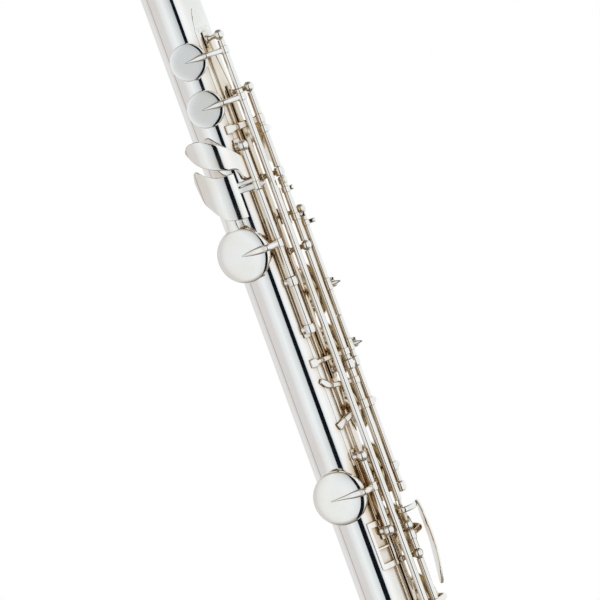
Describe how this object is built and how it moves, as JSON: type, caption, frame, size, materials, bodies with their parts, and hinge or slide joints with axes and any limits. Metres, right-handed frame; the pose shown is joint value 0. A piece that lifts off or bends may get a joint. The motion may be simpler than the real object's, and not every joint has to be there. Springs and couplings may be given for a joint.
{
  "type": "alto flute",
  "caption": "Silver-plated alto flute in three joints: tube with drawn tone holes, padded key cups on rods, thumb keys, trill keys and foot keys.",
  "frame": {"origin": "centre of the crown's flat end face, on the tube's axis", "axes": "+X along the tube from the crown to the foot end, +Z towards the main row of key cups, -Y towards the player"},
  "size_m": [0.869, 0.0479, 0.0512],
  "materials": {
    "silver_tube": "mirror-polished silver plate",
    "silver_keys": "polished silver plate on cast and drawn keywork",
    "steel": "drawn bright steel rod",
    "pad": "yellow fish skin over felt",
    "cork": "natural cork"
  },
  "bodies": {
    "body_joint": {"barrel_socket": "silver_tube", "body_tube": "silver_tube", "left_hand_rib": "silver_keys", "left_first_post": "silver_keys", "left_last_post": "silver_keys", "right_hand_rib": "silver_keys", "thumb_rib": "silver_keys", "g_sharp_rib": "silver_keys", "trill_post": "silver_keys", "c_key_steel": "steel", "left_hand_steel": "steel", "right_hand_steel": "steel", "thumb_steel": "steel", "g_sharp_steel": "steel"},
    "head_joint": {"head_tube": "silver_tube", "lip_plate": "silver_tube", "riser": "silver_tube", "stopper_cork": "cork", "stopper_screw": "silver_tube"},
    "crown": {"head_crown": "silver_tube"},
    "foot_joint": {"foot_tube": "silver_tube", "foot_rib": "silver_keys", "foot_steel": "steel"},
    "high_trill": {"high_trill_key": "silver_keys", "high_trill_pad": "pad"},
    "low_trill": {"low_trill_key": "silver_keys", "low_trill_pad": "pad"},
    "c": {"c_key": "silver_keys", "c_pad": "pad"},
    "thumb_bridge": {"thumb_bridge": "silver_keys"},
    "thumb_b": {"thumb_b_key": "silver_keys", "thumb_b_pad": "pad"},
    "thumb_b_flat": {"thumb_b_flat_lever": "silver_keys"},
    "b_flat": {"b_flat_key": "silver_keys", "b_flat_pad": "pad"},
    "a": {"a_key": "silver_keys", "a_pad": "pad"},
    "g": {"g_key": "silver_keys", "g_pad_1": "pad", "g_pad_2": "pad"},
    "g_sharp": {"g_sharp_key": "silver_keys", "g_sharp_pad": "pad"},
    "f_bridge": {"f_bridge": "silver_keys"},
    "f_sharp": {"f_sharp_key": "silver_keys", "f_sharp_pad": "pad"},
    "f": {"f_key": "silver_keys", "f_pad": "pad"},
    "e": {"e_key": "silver_keys", "e_pad": "pad"},
    "d": {"d_key": "silver_keys", "d_pad": "pad"},
    "d_sharp": {"d_sharp_key": "silver_keys", "d_sharp_pad": "pad"},
    "c_sharp": {"c_sharp_key": "silver_keys", "c_sharp_pad": "pad"},
    "low_c": {"low_c_key": "silver_keys", "low_c_pad": "pad"},
    "c_sharp_roller": {"c_sharp_roller": "silver_keys"},
    "low_c_roller": {"low_c_roller": "silver_keys"}
  },
  "joints": [
    {"name": "head_tuning_slide", "type": "slide", "parent": "body_joint", "child": "head_joint", "axis": [-1, 0, 0], "range_m": [0, 0.015]},
    {"name": "crown_turn", "type": "hinge", "parent": "head_joint", "child": "crown", "pos_m": [0.01, 0, 0], "axis": [1, 0, 0], "continuous": true},
    {"name": "foot_turn", "type": "hinge", "parent": "body_joint", "child": "foot_joint", "pos_m": [0.708, 0, 0], "axis": [1, 0, 0], "range_deg": [-15, 15]},
    {"name": "high_trill_press", "type": "hinge", "parent": "body_joint", "child": "high_trill", "pos_m": [0.326, -0.02004, 0.00628], "axis": [1, 0, 0], "range_deg": [-8, 0], "stiffness_Nm_per_rad": 0.02, "springref_deg": 20.05},
    {"name": "low_trill_press", "type": "hinge", "parent": "body_joint", "child": "low_trill", "pos_m": [0.3494, -0.02004, 0.00628], "axis": [1, 0, 0], "range_deg": [-8, 0], "stiffness_Nm_per_rad": 0.02, "springref_deg": 20.05},
    {"name": "c_press", "type": "hinge", "parent": "body_joint", "child": "c", "pos_m": [0.3672, -0.0189, 0.01275], "axis": [1, 0, 0], "range_deg": [-8, 0], "stiffness_Nm_per_rad": 0.02, "springref_deg": 20.05},
    {"name": "thumb_b_press", "type": "hinge", "parent": "body_joint", "child": "thumb_b", "pos_m": [0.4202, -0.01943, -0.0017], "axis": [1, 0, 0], "range_deg": [0, 8], "stiffness_Nm_per_rad": 0.02, "springref_deg": -20.05},
    {"name": "thumb_b_flat_press", "type": "hinge", "parent": "body_joint", "child": "thumb_b_flat", "pos_m": [0.38, -0.01943, -0.0017], "axis": [1, 0, 0], "range_deg": [0, 8], "stiffness_Nm_per_rad": 0.02, "springref_deg": -20.05},
    {"name": "thumb_bridge_turn", "type": "hinge", "parent": "body_joint", "child": "thumb_bridge", "pos_m": [0.407, -0.0189, 0.01275], "axis": [1, 0, 0], "range_deg": [-8, 0], "stiffness_Nm_per_rad": 0.002, "springref_deg": 20.05},
    {"name": "a_press", "type": "hinge", "parent": "body_joint", "child": "a", "pos_m": [0.4787, -0.0176, 0.01748], "axis": [1, 0, 0], "range_deg": [-8, 0], "stiffness_Nm_per_rad": 0.02, "springref_deg": 20.05},
    {"name": "b_flat_turn", "type": "hinge", "parent": "body_joint", "child": "b_flat", "pos_m": [0.4481, -0.0176, 0.01748], "axis": [1, 0, 0], "range_deg": [-8, 0], "stiffness_Nm_per_rad": 0.02, "springref_deg": 20.05},
    {"name": "g_press", "type": "hinge", "parent": "body_joint", "child": "g", "pos_m": [0.523, -0.0176, 0.01748], "axis": [1, 0, 0], "range_deg": [-8, 0], "stiffness_Nm_per_rad": 0.02, "springref_deg": 20.05},
    {"name": "g_sharp_press", "type": "hinge", "parent": "body_joint", "child": "g_sharp", "pos_m": [0.5446, -0.01945, 0.00136], "axis": [1, 0, 0], "range_deg": [-8, 0], "stiffness_Nm_per_rad": 0.02, "springref_deg": 20.05},
    {"name": "f_press", "type": "hinge", "parent": "body_joint", "child": "f", "pos_m": [0.6088, -0.0189, 0.01275], "axis": [1, 0, 0], "range_deg": [-8, 0], "stiffness_Nm_per_rad": 0.02, "springref_deg": 20.05},
    {"name": "f_sharp_turn", "type": "hinge", "parent": "body_joint", "child": "f_sharp", "pos_m": [0.5722, -0.0189, 0.01275], "axis": [1, 0, 0], "range_deg": [-8, 0], "stiffness_Nm_per_rad": 0.02, "springref_deg": 20.05},
    {"name": "f_bridge_turn", "type": "hinge", "parent": "body_joint", "child": "f_bridge", "pos_m": [0.497, -0.0189, 0.01275], "axis": [1, 0, 0], "range_deg": [-8, 0], "stiffness_Nm_per_rad": 0.02, "springref_deg": 20.05},
    {"name": "e_press", "type": "hinge", "parent": "body_joint", "child": "e", "pos_m": [0.6455, -0.0189, 0.01275], "axis": [1, 0, 0], "range_deg": [-8, 0], "stiffness_Nm_per_rad": 0.02, "springref_deg": 20.05},
    {"name": "d_press", "type": "hinge", "parent": "body_joint", "child": "d", "pos_m": [0.685, -0.0189, 0.01275], "axis": [1, 0, 0], "range_deg": [-8, 0], "stiffness_Nm_per_rad": 0.02, "springref_deg": 20.05},
    {"name": "d_sharp_press", "type": "hinge", "parent": "foot_joint", "child": "d_sharp", "pos_m": [0.727, -0.00225, 0.02138], "axis": [1, 0, 0], "range_deg": [0, 8], "stiffness_Nm_per_rad": 0.02, "springref_deg": -20.05},
    {"name": "c_sharp_press", "type": "hinge", "parent": "foot_joint", "child": "c_sharp", "pos_m": [0.7717, -0.00225, 0.02138], "axis": [1, 0, 0], "range_deg": [0, 8], "stiffness_Nm_per_rad": 0.02, "springref_deg": -20.05},
    {"name": "low_c_press", "type": "hinge", "parent": "foot_joint", "child": "low_c", "pos_m": [0.8191, -0.00225, 0.02138], "axis": [1, 0, 0], "range_deg": [0, 8], "stiffness_Nm_per_rad": 0.02, "springref_deg": -20.05},
    {"name": "c_sharp_roller_spin", "type": "hinge", "parent": "c_sharp", "child": "c_sharp_roller", "pos_m": [0.7515, -0.0108, 0.02254], "axis": [1, 0, 0], "continuous": true},
    {"name": "low_c_roller_spin", "type": "hinge", "parent": "low_c", "child": "low_c_roller", "pos_m": [0.7515, -0.01604, 0.01998], "axis": [1, 0, 0], "continuous": true}
  ],
  "couplings": [
    {"joint": "thumb_b_press", "follows": "thumb_b_flat_press", "ratio": 1},
    {"joint": "thumb_bridge_turn", "follows": "thumb_b_flat_press", "ratio": -1},
    {"joint": "b_flat_turn", "follows": "a_press", "ratio": 1},
    {"joint": "f_sharp_turn", "follows": "f_press", "ratio": 1},
    {"joint": "f_bridge_turn", "follows": "f_press", "ratio": 1}
  ]
}
